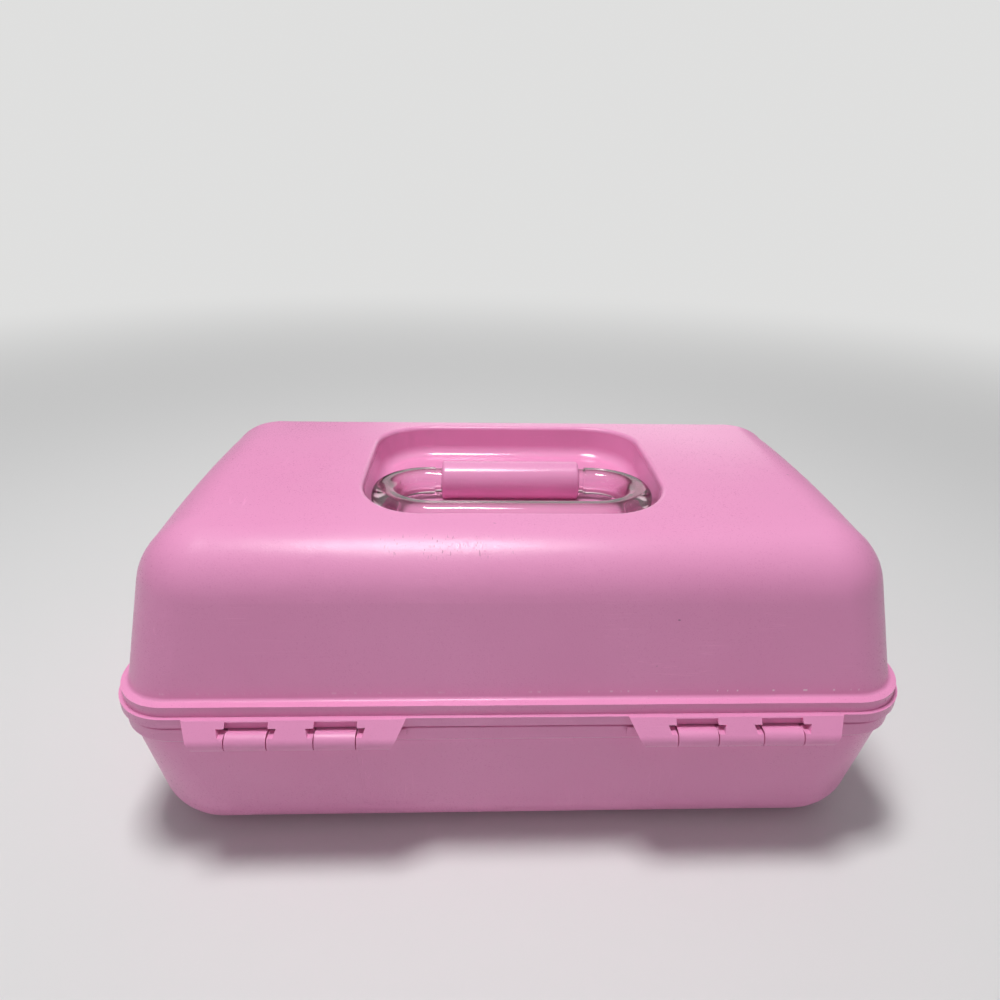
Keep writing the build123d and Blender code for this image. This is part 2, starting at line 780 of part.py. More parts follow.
# ---- link_left, link_right, lid_arm_left and lid_arm_right ----
for name, side in (("left", -1), ("right", 1)):
    with BuildPart() as link:
        with BuildSketch(side_plane(side * link_in_x)):
            with Locations((base_pivot_y, base_pivot_z), (tray_pivot_y, tray_pivot_z)):
                Circle(link_eye_r)
            make_hull()
            with Locations((base_pivot_y, base_pivot_z)):
                Circle(pivot_pin_r + pin_fit, mode=Mode.SUBTRACT)
            with Locations((tray_pivot_y, tray_pivot_z)):
                Circle(pivot_pin_r + open_pivot_fit, mode=Mode.SUBTRACT)
        extrude(amount=side * link_thickness)
    link.part.label = f"link_{name}"
    export_step(link.part, f"parts/link_{name}.step")

    with BuildPart() as lid_arm:
        with BuildSketch(side_plane(side * arm_in_x)):
            with Locations((lid_pivot_y, lid_pivot_z)):
                Circle(arm_eye_r)
            for screw_y in lid_arm_screw_y:
                with Locations((screw_y, lid_arm_screw_z)):
                    Circle(screw_boss_r + wall / 2)
            make_hull()
            with Locations((lid_pivot_y, lid_pivot_z)):
                Circle(pivot_pin_r, mode=Mode.SUBTRACT)
            for screw_y in lid_arm_screw_y:
                with Locations((screw_y, lid_arm_screw_z)):
                    Circle(screw_r + pin_fit, mode=Mode.SUBTRACT)
        extrude(amount=side * link_thickness)
    lid_arm.part.label = f"lid_arm_{name}"
    export_step(lid_arm.part, f"parts/lid_arm_{name}.step")


# ---- pivot pins and screws ----
def headed_pin(side, tip_x, head_x, head_thickness, y, z, shank_r, head_r):
    """A pin along X from its tip to its head, both given as distances from the middle plane."""
    toward_head = 1 if head_x > tip_x else -1
    with BuildPart() as pin:
        with BuildSketch(side_plane(side * tip_x)):
            with Locations((y, z)):
                Circle(shank_r)
        extrude(amount=side * (head_x - tip_x))
        with BuildSketch(side_plane(side * head_x)):
            with Locations((y, z)):
                Circle(head_r)
        extrude(amount=side * toward_head * head_thickness)
    return pin.part


pivots = {
    "lid_pivot_pins": (tray_x - tray_wall, arm_out_x, lid_pivot_y, lid_pivot_z),
    "tray_pivot_pins": (tray_x - tray_wall / 2, link_out_x + link_gap, tray_pivot_y, tray_pivot_z),
    "base_pivot_pins": (
        link_out_x + link_gap + base_pin_depth,
        link_in_x - link_gap,
        base_pivot_y,
        base_pivot_z,
    ),
}
for name, (tip_x, head_x, pin_y, pin_z) in pivots.items():
    pins = [
        headed_pin(side, tip_x, head_x, pivot_head, pin_y, pin_z, pivot_pin_r, pivot_head_r)
        for side in (-1, 1)
    ]
    with BuildPart() as pin_pair:
        add(pins)
    pin_pair.part.label = name
    export_step(pin_pair.part, f"parts/{name}.step")

arm_screw_end_x = lid_wall_at(lid_arm_screw_z)[0] - wall
arm_screws = [
    headed_pin(
        side, arm_screw_end_x, arm_in_x, screw_head, screw_y, lid_arm_screw_z, screw_r, screw_head_r
    )
    for side in (-1, 1)
    for screw_y in lid_arm_screw_y
]
with BuildPart() as arm_screw_set:
    add(arm_screws)
arm_screw_set.part.label = "arm_screws"
export_step(arm_screw_set.part, "parts/arm_screws.step")


# ---- mirror_frame, mirror_glass, mirror_backing and mirror_screws ----
frame_top_z = mirror_frame_bottom_z + mirror_frame_height
opening_x = mirror_frame_x - mirror_border
opening_y = mirror_frame_y - mirror_border
pocket_x = opening_x + mirror_overlap
pocket_y = opening_y + mirror_overlap
glass_z = mirror_frame_bottom_z + mirror_bezel
with BuildPart() as mirror_frame:
    with BuildSketch(Plane.XY.offset(mirror_frame_bottom_z)):
        RectangleRounded(2 * mirror_frame_x, 2 * mirror_frame_y, mirror_corner)
    extrude(amount=mirror_frame_height)
    fillet(mirror_frame.edges().group_by(Axis.Z)[0], mirror_round)
    with BuildSketch(Plane.XY.offset(mirror_frame_bottom_z)):
        RectangleRounded(2 * opening_x, 2 * opening_y, mirror_corner / 2)
    extrude(amount=mirror_frame_height, mode=Mode.SUBTRACT)
    with BuildSketch(Plane.XY.offset(glass_z)):
        RectangleRounded(2 * pocket_x, 2 * pocket_y, mirror_corner / 2)
    extrude(amount=mirror_frame_height, mode=Mode.SUBTRACT)
    for cut_r, cut_height in (
        (screw_head_r + pin_fit, screw_head),
        (screw_r + pin_fit, mirror_frame_height),
    ):
        with BuildSketch(Plane.XY.offset(mirror_frame_bottom_z)):
            with GridLocations(2 * mirror_screw_x, 2 * mirror_screw_y, 2, 2):
                Circle(cut_r)
        extrude(amount=cut_height, mode=Mode.SUBTRACT)

mirror_frame.part.label = "mirror_frame"
export_step(mirror_frame.part, "parts/mirror_frame.step")

for name, low_z, thickness in (
    ("mirror_glass", glass_z, glass_thickness),
    ("mirror_backing", glass_z + glass_thickness, backing_thickness),
):
    with BuildPart() as plate:
        with BuildSketch(Plane.XY.offset(low_z)):
            RectangleRounded(
                2 * (pocket_x - mirror_fit), 2 * (pocket_y - mirror_fit), mirror_corner / 2 - mirror_fit
            )
        extrude(amount=thickness)
    plate.part.label = name
    export_step(plate.part, f"parts/{name}.step")

with BuildPart() as mirror_screws:
    for pin_radius, low_z, height in (
        (screw_head_r, mirror_frame_bottom_z, screw_head),
        (screw_r, mirror_frame_bottom_z, mirror_screw_length),
    ):
        with BuildSketch(Plane.XY.offset(low_z)):
            with GridLocations(2 * mirror_screw_x, 2 * mirror_screw_y, 2, 2):
                Circle(pin_radius)
        extrude(amount=height)

mirror_screws.part.label = "mirror_screws"
export_step(mirror_screws.part, "parts/mirror_screws.step")
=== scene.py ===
# %% [markdown]
# # Make-up storage case
# The case is two moulded pink shells, snapped together along the back, with a clear handle
# folded into the lid.  The engineering model already has every shell, pin and link at its real
# size, so the work here is the surface: how satin plastic, clear acrylic, steel and mirror
# glass take the light, and the small marks that handling leaves.

import bmesh
import bpy
from mathutils import Matrix, Vector

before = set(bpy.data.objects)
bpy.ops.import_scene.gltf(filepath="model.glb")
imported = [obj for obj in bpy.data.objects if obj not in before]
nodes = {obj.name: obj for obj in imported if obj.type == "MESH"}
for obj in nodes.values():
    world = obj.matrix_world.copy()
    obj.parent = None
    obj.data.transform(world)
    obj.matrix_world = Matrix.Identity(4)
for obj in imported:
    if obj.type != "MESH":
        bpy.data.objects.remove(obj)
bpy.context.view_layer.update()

# %% [markdown]
# ## The camera
# The photograph looks down on the hinge side, nearly square on, from about a forearm's
# length away.  The lens and the place below were worked out from the straight edges of the
# case.  The three directions are the camera's own right, up and backwards.

# %% Set the camera
EYE = Vector((-0.0178213, -0.3123785, 0.2677745))
RIGHT = Vector((0.99928592, -0.03250264, 0.01926714))
UP = Vector((-0.00347268, 0.42876311, 0.90341028))
BACKWARDS = Vector((-0.03762426, -0.90283208, 0.42834407))
LENS_MM = 24.92

camera = bpy.data.objects.new("photo_camera", bpy.data.cameras.new("photo_camera"))
camera.data.lens = LENS_MM
camera.data.sensor_width = 36.0
camera.data.clip_start = 0.01
camera.matrix_world = Matrix.Translation(EYE) @ Matrix((RIGHT, UP, BACKWARDS)).transposed().to_4x4()
bpy.context.scene.collection.objects.link(camera)
bpy.context.scene.camera = camera
print("camera", camera.data.lens, "mm at", tuple(camera.location))

# %% [markdown]
# ## The studio
# A plain pale floor, a soft lamp over the case, a weak one on the hinge side and a low one on
# the latch side.  The photograph is lit from above, which is why the top glows and the wall
# falls off.  The world lights the case dimly, so the wall keeps its shade, but it is pale
# where the camera sees it.  On gloss it is bright overhead and grey near the horizon, and
# through glass it is an even, darker grey, which gives the clear handle its light and dark
# streaks.  Far from the case the floor turns into the backdrop's tone, so no edge shows.

# %% Build the floor
FLOOR_REACH = 12.0
FADE_START = 0.45
FADE_END = 1.5
PAPER = (0.78, 0.775, 0.77, 1)
BACKDROP = (0.74, 0.74, 0.735, 1)

floor_shape = bmesh.new()
bmesh.ops.create_circle(floor_shape, cap_ends=True, segments=96, radius=FLOOR_REACH)
floor_mesh = bpy.data.meshes.new("floor")
floor_shape.to_mesh(floor_mesh)
floor_shape.free()
floor = bpy.data.objects.new("floor", floor_mesh)
bpy.context.scene.collection.objects.link(floor)

floor_paper = bpy.data.materials.new("pale_paper")
floor_paper.use_nodes = True
paper = floor_paper.node_tree
paper_shader = paper.nodes["Principled BSDF"]
paper_shader.inputs["Base Color"].default_value = PAPER
paper_shader.inputs["Roughness"].default_value = 0.9
paper_shader.inputs["Specular IOR Level"].default_value = 0.2
far_glow = paper.nodes.new("ShaderNodeEmission")
far_glow.inputs["Color"].default_value = BACKDROP
paper_place = paper.nodes.new("ShaderNodeTexCoord")
from_case = paper.nodes.new("ShaderNodeVectorMath")
from_case.operation = "LENGTH"
fade = paper.nodes.new("ShaderNodeMapRange")
fade.interpolation_type = "SMOOTHSTEP"
fade.inputs["From Min"].default_value = FADE_START
fade.inputs["From Max"].default_value = FADE_END
seen = paper.nodes.new("ShaderNodeLightPath")
seen_fade = paper.nodes.new("ShaderNodeMath")
seen_fade.operation = "MULTIPLY"
paper_mix = paper.nodes.new("ShaderNodeMixShader")
paper.links.new(paper_place.outputs["Object"], from_case.inputs[0])
paper.links.new(from_case.outputs["Value"], fade.inputs["Value"])
paper.links.new(fade.outputs["Result"], seen_fade.inputs[0])
paper.links.new(seen.outputs["Is Camera Ray"], seen_fade.inputs[1])
paper.links.new(seen_fade.outputs[0], paper_mix.inputs["Fac"])
paper.links.new(paper_shader.outputs["BSDF"], paper_mix.inputs[1])
paper.links.new(far_glow.outputs["Emission"], paper_mix.inputs[2])
paper_out = paper.nodes["Material Output"]
paper.links.new(paper_mix.outputs["Shader"], paper_out.inputs["Surface"])
floor.data.materials.append(floor_paper)
print("floor radius", FLOOR_REACH, "m")

# %% Light the studio
def softbox(name, place, aim, width, depth, watts):
    """A rectangular area lamp at a place, turned to face a point."""
    lamp = bpy.data.lights.new(name, "AREA")
    lamp.shape = "RECTANGLE"
    lamp.size = width
    lamp.size_y = depth
    lamp.energy = watts
    holder = bpy.data.objects.new(name, lamp)
    turn = (Vector(place) - Vector(aim)).to_track_quat("Z", "Y")
    holder.matrix_world = Matrix.Translation(place) @ turn.to_matrix().to_4x4()
    bpy.context.scene.collection.objects.link(holder)
    print(name, watts, "W")


CASE_MIDDLE = (0.0, 0.0, 0.08)
softbox("overhead_box", (-0.12, -0.05, 1.25), CASE_MIDDLE, 0.25, 0.32, 10.5)
softbox("hinge_side_fill", (-0.5, -1.5, 0.9), CASE_MIDDLE, 1.4, 1.0, 0.7)
softbox("latch_side_fill", (0.3, 1.7, 0.42), CASE_MIDDLE, 1.2, 0.7, 2.8)

# %% Light the world
WORLD_LIGHT = 0.26
DAYLIGHT = (0.96, 0.98, 1.0, 1)
HORIZON_GREY = (0.16, 0.155, 0.155, 1)
OVERHEAD_GREY = (0.95, 0.95, 0.94, 1)
THROUGH_GLASS_GREY = (0.24, 0.23, 0.23, 1)
GREY_BELOW = 0.45
PALE_ABOVE = 0.95

world = bpy.data.worlds.new("studio")
world.use_nodes = True
bpy.context.scene.world = world
sky = world.node_tree
sky.nodes.clear()


def sky_light(colour, strength=1.0):
    """One light level of the world; returns its shader."""
    node = sky.nodes.new("ShaderNodeBackground")
    node.inputs["Color"].default_value = colour
    node.inputs["Strength"].default_value = strength
    return node.outputs["Background"]


def sky_choice(share, first, second):
    """Mixes two light levels by a ray's kind or direction."""
    node = sky.nodes.new("ShaderNodeMixShader")
    sky.links.new(share, node.inputs["Fac"])
    sky.links.new(first, node.inputs[1])
    sky.links.new(second, node.inputs[2])
    return node.outputs["Shader"]


ray = sky.nodes.new("ShaderNodeLightPath")
direction = sky.nodes.new("ShaderNodeTexCoord")
height_of = sky.nodes.new("ShaderNodeSeparateXYZ")
sky.links.new(direction.outputs["Generated"], height_of.inputs[0])
rise = sky.nodes.new("ShaderNodeMapRange")
rise.interpolation_type = "SMOOTHSTEP"
rise.inputs["From Min"].default_value = GREY_BELOW
rise.inputs["From Max"].default_value = PALE_ABOVE
sky.links.new(height_of.outputs["Z"], rise.inputs["Value"])
lighting = sky_light(DAYLIGHT, WORLD_LIGHT)
reflected = sky_choice(rise.outputs["Result"], sky_light(HORIZON_GREY), sky_light(OVERHEAD_GREY))
through_glass = sky_light(THROUGH_GLASS_GREY)
off_glass = sky_choice(ray.outputs["Is Glossy Ray"], lighting, reflected)
unlit = sky_choice(ray.outputs["Is Transmission Ray"], off_glass, through_glass)
whole = sky_choice(ray.outputs["Is Camera Ray"], unlit, sky_light(BACKDROP))
sky_out = sky.nodes.new("ShaderNodeOutputWorld")
sky.links.new(whole, sky_out.inputs["Surface"])
bpy.context.scene.view_settings.view_transform = "Standard"
print("world has", len(sky.nodes), "nodes")

# %% [markdown]
# ## Effects that several finishes share
# Moulded grain, fine scratches, rubbed edges and settled dust appear on more than one
# material.  Each is a node group with named inputs, built once.  All of them read Object
# coordinates, which are metres on the case, so a scale of 1000 gives marks of about 1 mm.

# %% Helpers for node groups
def new_group(name, inputs, outputs):
    """A shader group with numeric inputs (name, default) and numeric outputs."""
    group = bpy.data.node_groups.new(name, "ShaderNodeTree")
    for socket_name, value in inputs:
        socket = group.interface.new_socket(
            socket_name, in_out="INPUT", socket_type="NodeSocketFloat"
        )
        socket.default_value = value
    for socket_name in outputs:
        group.interface.new_socket(
            socket_name, in_out="OUTPUT", socket_type="NodeSocketFloat"
        )
    entry = group.nodes.new("NodeGroupInput")
    leave = group.nodes.new("NodeGroupOutput")
    return group, entry, leave


def add_node(tree, kind, **settings):
    """A node with its settings, such as operation or data_type."""
    node = tree.nodes.new(kind)
    for key, value in settings.items():
        setattr(node, key, value)
    return node


def feed(tree, source, target):
    """Joins a socket, or sets a plain value, into a target socket."""
    if isinstance(source, (int, float, tuple)):
        target.default_value = source
    else:
        tree.links.new(source, target)


def math_node(tree, operation, first, second=0.0, clamp=False):
    """One arithmetic step; returns its result socket."""
    node = add_node(tree, "ShaderNodeMath", operation=operation, use_clamp=clamp)
    feed(tree, first, node.inputs[0])
    feed(tree, second, node.inputs[1])
    return node.outputs[0]


def remap(tree, value, low, high, new_low=0.0, new_high=1.0):
    """Stretches a range onto another one and holds it there."""
    node = add_node(tree, "ShaderNodeMapRange", clamp=True)
    for socket, number in zip(node.inputs[1:5], (low, high, new_low, new_high)):
        socket.default_value = number
    feed(tree, value, node.inputs[0])
    return node.outputs[0]


def noise(tree, vector, scale, detail=2.0, roughness=0.5):
    """Noise over the surface; returns its grey socket."""
    node = add_node(tree, "ShaderNodeTexNoise")
    feed(tree, scale, node.inputs["Scale"])
    feed(tree, detail, node.inputs["Detail"])
    feed(tree, roughness, node.inputs["Roughness"])
    tree.links.new(vector, node.inputs["Vector"])
    return node.outputs["Fac"]


def place(tree, scale=(1, 1, 1), turn=(0, 0, 0), shift=(0, 0, 0)):
    """Object coordinates, stretched, turned and shifted by a Mapping node."""
    coordinates = add_node(tree, "ShaderNodeTexCoord")
    mapping = add_node(tree, "ShaderNodeMapping")
    mapping.inputs["Scale"].default_value = scale
    mapping.inputs["Rotation"].default_value = turn
    mapping.inputs["Location"].default_value = shift
    tree.links.new(coordinates.outputs["Object"], mapping.inputs["Vector"])
    return mapping.outputs["Vector"]


print("node helpers ready")


# %% Group: moulded grain
grain, grain_in, grain_out = new_group(
    "moulded_grain", [("Fineness", 1800.0)], ["Height", "Speckle"]
)
grain_place = place(grain)
fine = noise(grain, grain_place, grain_in.outputs["Fineness"], 3.0, 0.6)
grain.links.new(fine, grain_out.inputs["Height"])
speckle = remap(grain, fine, 0.56, 0.72)
grain.links.new(speckle, grain_out.inputs["Speckle"])
print("moulded_grain has", len(grain.nodes), "nodes")

# %% Group: fine scratches
def scratch_set(tree, scale, turn, width, patch_scale, shift):
    """Thin marks along one direction, in patches."""
    lines = noise(tree, place(tree, scale, turn, shift), 1.0, 1.0, 0.4)
    distance = math_node(tree, "ABSOLUTE", math_node(tree, "SUBTRACT", lines, 0.5))
    thin = remap(tree, distance, 0.0, width, 1.0, 0.0)
    patches = remap(tree, noise(tree, place(tree, shift=shift), patch_scale, 2.0), 0.58, 0.68)
    return math_node(tree, "MULTIPLY", thin, patches)


scratches, scratches_in, scratches_out = new_group("fine_scratches", [("Amount", 1.0)], ["Scratch"])
first_set = scratch_set(scratches, (14, 420, 420), (0, 0, 0.2), 0.010, 26.0, (0.4, 0, 0))
second_set = scratch_set(scratches, (380, 18, 380), (0, 0, 0.5), 0.009, 31.0, (0, 0.7, 0))
third_set = scratch_set(scratches, (300, 300, 22), (0.3, 0.4, 0), 0.008, 22.0, (0, 0, 0.9))
either_set = math_node(scratches, "MAXIMUM", first_set, second_set)
all_sets = math_node(scratches, "MAXIMUM", either_set, third_set)
scratch_amount = math_node(scratches, "MULTIPLY", all_sets, scratches_in.outputs["Amount"])
feed(scratches, scratch_amount, scratches_out.inputs["Scratch"])
print("fine_scratches has", len(scratches.nodes), "nodes")

# %% Group: rubbed edges
edges, edges_in, edges_out = new_group("rubbed_edges", [("Radius", 0.0006)], ["Edge"])
rounded = add_node(edges, "ShaderNodeBevel", samples=4)
edges.links.new(edges_in.outputs["Radius"], rounded.inputs["Radius"])
flat = add_node(edges, "ShaderNodeNewGeometry")
agree = add_node(edges, "ShaderNodeVectorMath", operation="DOT_PRODUCT")
edges.links.new(rounded.outputs["Normal"], agree.inputs[0])
edges.links.new(flat.outputs["Normal"], agree.inputs[1])
turned = remap(edges, agree.outputs["Value"], 0.75, 0.98, 1.0, 0.0)
broken = remap(edges, noise(edges, place(edges), 240.0, 3.0), 0.35, 0.6)
feed(edges, math_node(edges, "MULTIPLY", turned, broken), edges_out.inputs["Edge"])
print("rubbed_edges has", len(edges.nodes), "nodes")

# %% Group: settled dust
dust, dust_in, dust_out = new_group("settled_dust", [("Scale", 60.0)], ["Dust"])
facing = add_node(dust, "ShaderNodeNewGeometry")
apart = add_node(dust, "ShaderNodeSeparateXYZ")
dust.links.new(facing.outputs["Normal"], apart.inputs[0])
upward = remap(dust, apart.outputs["Z"], 0.55, 0.98)
clouds = remap(dust, noise(dust, place(dust), dust_in.outputs["Scale"], 4.0, 0.65), 0.45, 0.75)
specks = remap(dust, noise(dust, place(dust), 1500.0, 1.0), 0.66, 0.74)
cover = math_node(dust, "ADD", math_node(dust, "MULTIPLY", clouds, 0.4), specks, clamp=True)
feed(dust, math_node(dust, "MULTIPLY", upward, cover), dust_out.inputs["Dust"])
print("settled_dust has", len(dust.nodes), "nodes")

# %% Helpers for materials
def new_material(name):
    """A material with its Principled shader; returns the material, its tree and the shader."""
    material = bpy.data.materials.new(name)
    material.use_nodes = True
    return material, material.node_tree, material.node_tree.nodes["Principled BSDF"]


def use_group(tree, group, **values):
    """Places a shared group with its own values."""
    node = add_node(tree, "ShaderNodeGroup", node_tree=group)
    for key, value in values.items():
        node.inputs[key].default_value = value
    return node


def blend_colours(tree, share, first, second):
    """Mixes two colours, each a plain colour or a socket."""
    node = add_node(tree, "ShaderNodeMix", data_type="RGBA")
    feed(tree, share, node.inputs["Factor"])
    feed(tree, first, node.inputs[6])
    feed(tree, second, node.inputs[7])
    return node.outputs[2]


def bump(tree, shader, height, depth, strength=1.0):
    """Turns a height into the shader's normal; depth is in metres."""
    node = add_node(tree, "ShaderNodeBump")
    node.inputs["Strength"].default_value = strength
    node.inputs["Distance"].default_value = depth
    tree.links.new(height, node.inputs["Height"])
    tree.links.new(node.outputs["Normal"], shader.inputs["Normal"])


def faded(tree, colour, mask, share, over):
    """Lays a colour over another one where a mask says so, at a share of its strength."""
    return blend_colours(tree, math_node(tree, "MULTIPLY", mask, share), colour, over)


def added(tree, value, mask, amount):
    """Raises or lowers a value where a mask says so."""
    return math_node(tree, "ADD", value, math_node(tree, "MULTIPLY", mask, amount))


print("material helpers ready")

# %% [markdown]
# ## Pink moulded plastic
# The shells have a satin face with a very fine grain, so the highlight along the upper round
# breaks into specks.  The handle's recess was polished in the mould: its walls shine more.
# Handling leaves pale rubbed edges, hair scratches and a few dark scuffs.

# %% Masks that belong to one place on the case
RECESS_HALF_X = 0.0700
RECESS_HALF_Y = 0.0560
RECESS_MIDDLE_Y = 0.0022
RECESS_RIM_Z = 0.1378
SIDE_FADE = 0.0015
RIM_FADE = 0.0016
SCUFF_X, SCUFF_REACH_X = -0.028, 0.036
SCUFF_Y, SCUFF_REACH_Y = -0.0730, 0.0055
SCUFF_LOWEST_Z = 0.126
NICK_Z = 0.0795
NICK_HALF_HEIGHT = 0.0005


def axis_values(tree):
    """The X, Y and Z of Object coordinates."""
    spot = add_node(tree, "ShaderNodeSeparateXYZ")
    tree.links.new(place(tree), spot.inputs[0])
    return spot.outputs["X"], spot.outputs["Y"], spot.outputs["Z"]


def off_from(tree, value, middle):
    """Distance of a coordinate from a middle value."""
    return math_node(tree, "ABSOLUTE", math_node(tree, "SUBTRACT", value, middle))


def within(tree, value, middle, reach, fade):
    """One near a middle value, falling to nothing over the last stretch of the reach."""
    return remap(tree, off_from(tree, value, middle), reach - fade, reach, 1.0, 0.0)


def all_of(tree, *masks):
    """One where every mask is one."""
    share = masks[0]
    for mask in masks[1:]:
        share = math_node(tree, "MULTIPLY", share, mask)
    return share


def recess_mask(tree):
    """The polished walls and floor of the handle's recess, under the top's surface."""
    x, y, z = axis_values(tree)
    return all_of(
        tree,
        within(tree, x, 0.0, RECESS_HALF_X, SIDE_FADE),
        within(tree, y, RECESS_MIDDLE_Y, RECESS_HALF_Y, SIDE_FADE),
        remap(tree, z, RECESS_RIM_Z - RIM_FADE, RECESS_RIM_Z, 1.0, 0.0),
    )


def scuff_mask(tree):
    """A few dark strokes on the upper round of the hinge side, left of the middle."""
    x, y, z = axis_values(tree)
    strokes = noise(tree, place(tree, (1300, 330, 330), (0, 0, 0.5)), 1.0, 1.0, 0.5)
    return all_of(
        tree,
        remap(tree, strokes, 0.675, 0.70),
        within(tree, x, SCUFF_X, SCUFF_REACH_X, 0.024),
        within(tree, y, SCUFF_Y, SCUFF_REACH_Y, 0.0035),
        remap(tree, z, SCUFF_LOWEST_Z, SCUFF_LOWEST_Z + 0.003),
    )


def nick_mask(tree):
    """Small pale nicks along the foot of the lid's wall on the hinge side."""
    x, y, z = axis_values(tree)
    nicks = noise(tree, place(tree, (420, 30, 30)), 1.0, 2.0, 0.6)
    return all_of(
        tree,
        remap(tree, nicks, 0.61, 0.66),
        within(tree, z, NICK_Z, NICK_HALF_HEIGHT, 0.0003),
        remap(tree, y, -0.060, -0.070),
        remap(tree, x, 0.000, 0.040, 0.25, 1.0),
    )


print("recess reaches", RECESS_HALF_X, "m each way; nicks at", NICK_Z, "m")

# %% Pink plastic
SCUFF_DARK = (0.10, 0.03, 0.05, 1)
NICK_PALE = (0.95, 0.75, 0.83, 1)
DUST_GREY = (0.55, 0.45, 0.48, 1)


def pink_plastic(name, light, deep, roughness, lid_marks=False):
    """Satin moulded plastic with drifted colour, grain, scratches, scuffs and rubbed edges."""
    material, tree, shader = new_material(name)
    drift = remap(tree, noise(tree, place(tree), 9.0, 3.0), 0.35, 0.65)
    colour = blend_colours(tree, drift, light, deep)
    skin = use_group(tree, grain, Fineness=1500.0)
    marks = use_group(tree, scratches, Amount=1.0)
    rubbed = use_group(tree, edges, Radius=0.0007)
    settled = use_group(tree, dust, Scale=45.0)
    pale = tuple(min(1.0, 1.12 * part + 0.06) for part in light[:3]) + (1,)
    colour = faded(tree, colour, rubbed.outputs["Edge"], 0.45, pale)
    colour = faded(tree, colour, marks.outputs["Scratch"], 0.30, pale)
    scuffed = remap(tree, noise(tree, place(tree, (60, 160, 160)), 1.0, 3.0, 0.7), 0.735, 0.76)
    if lid_marks:
        scuffed = math_node(tree, "MAXIMUM", scuffed, scuff_mask(tree))
        colour = faded(tree, colour, nick_mask(tree), 0.8, NICK_PALE)
    colour = faded(tree, colour, scuffed, 0.55, SCUFF_DARK)
    colour = faded(tree, colour, settled.outputs["Dust"], 0.06, DUST_GREY)
    tree.links.new(colour, shader.inputs["Base Color"])
    uneven = remap(tree, noise(tree, place(tree), 14.0, 4.0, 0.6), 0.3, 0.7, -0.05, 0.05)
    gloss = math_node(tree, "ADD", uneven, roughness)
    gloss = added(tree, gloss, skin.outputs["Speckle"], -0.14)
    skin_height = skin.outputs["Height"]
    if lid_marks:
        polished = recess_mask(tree)
        gloss = added(tree, gloss, polished, -0.20)
        rough_share = remap(tree, polished, 0.0, 1.0, 1.0, 0.15)
        skin_height = math_node(tree, "MULTIPLY", skin_height, rough_share)
    gloss = added(tree, gloss, marks.outputs["Scratch"], 0.2)
    tree.links.new(gloss, shader.inputs["Roughness"])
    height = math_node(tree, "SUBTRACT", skin_height, marks.outputs["Scratch"])
    bump(tree, shader, height, 0.00007, 0.8)
    return material


LIGHT_PINK = (0.85, 0.325, 0.575, 1)
DEEP_PINK = (0.82, 0.30, 0.545, 1)
shell_pink = pink_plastic("pink_shell", LIGHT_PINK, DEEP_PINK, 0.34)
lid_pink = pink_plastic("pink_lid", LIGHT_PINK, DEEP_PINK, 0.33, lid_marks=True)
print("pink plastics ready")

# %% [markdown]
# ## Clear acrylic handle
# The handle is solid clear acrylic.  It bends the pink behind it into bright and dark
# streaks, so it needs the right index, slightly wavy faces from the mould, and a few hair
# scratches that scatter light.  Where it is seen edge-on its colour turns to a painted
# dark rose: painted shade, standing for the shaded pink bent into dark streaks.

# %% Clear acrylic
CLEAR_LIGHT = (0.95, 0.90, 0.92, 1)
CLEAR_DEEP = (0.90, 0.84, 0.87, 1)
EDGE_ON_PAINTED_SHADE = (0.34, 0.15, 0.21, 1)

handle_clear, tree, shader = new_material("clear_handle")
shader.inputs["Transmission Weight"].default_value = 1.0
shader.inputs["IOR"].default_value = 1.49
marks = use_group(tree, scratches, Amount=1.0)
tint = remap(tree, noise(tree, place(tree), 20.0, 2.0), 0.3, 0.7)
clear = blend_colours(tree, tint, CLEAR_LIGHT, CLEAR_DEEP)
# Painted shade: the colour deepens to a dark rose where the face is seen edge-on, in place of the
# shaded pink that the plastic bends into dark streaks.
edge_on = add_node(tree, "ShaderNodeLayerWeight")
edge_on.inputs["Blend"].default_value = 0.5
painted_shade_share = remap(tree, edge_on.outputs["Facing"], 0.08, 0.62)
tree.links.new(blend_colours(tree, painted_shade_share, clear, EDGE_ON_PAINTED_SHADE), shader.inputs["Base Color"])
tree.links.new(added(tree, 0.015, marks.outputs["Scratch"], 0.3), shader.inputs["Roughness"])
waves = noise(tree, place(tree), 70.0, 1.0)
bump(tree, shader, waves, 0.00025, 0.5)
print("clear acrylic ready")

# %% [markdown]
# ## The inside: tray, arms, links and dividers
# Trays in such cases are a paler, slightly glossy plastic.  It shows drag marks where things
# slide about on its floor.

# %% Pale tray plastic
WORN_ROSE = (0.62, 0.50, 0.54, 1)
RUBBED_WHITE = (1, 0.97, 0.98, 1)


def pale_plastic(name, light, deep, roughness):
    """Pale gloss plastic with drag marks, grain and rubbed edges."""
    material, tree, shader = new_material(name)
    drift = remap(tree, noise(tree, place(tree), 12.0, 3.0), 0.35, 0.65)
    colour = blend_colours(tree, drift, light, deep)
    marks = use_group(tree, scratches, Amount=1.0)
    rubbed = use_group(tree, edges, Radius=0.0005)
    settled = use_group(tree, dust, Scale=35.0)
    skin = use_group(tree, grain, Fineness=1300.0)
    colour = faded(tree, colour, marks.outputs["Scratch"], 0.25, WORN_ROSE)
    colour = faded(tree, colour, settled.outputs["Dust"], 0.14, WORN_ROSE)
    colour = faded(tree, colour, rubbed.outputs["Edge"], 0.3, RUBBED_WHITE)
    tree.links.new(colour, shader.inputs["Base Color"])
    gloss = added(tree, roughness, marks.outputs["Scratch"], 0.25)
    gloss = added(tree, gloss, settled.outputs["Dust"], 0.15)
    tree.links.new(gloss, shader.inputs["Roughness"])
    bump(tree, shader, skin.outputs["Height"], 0.00002, 0.5)
    return material


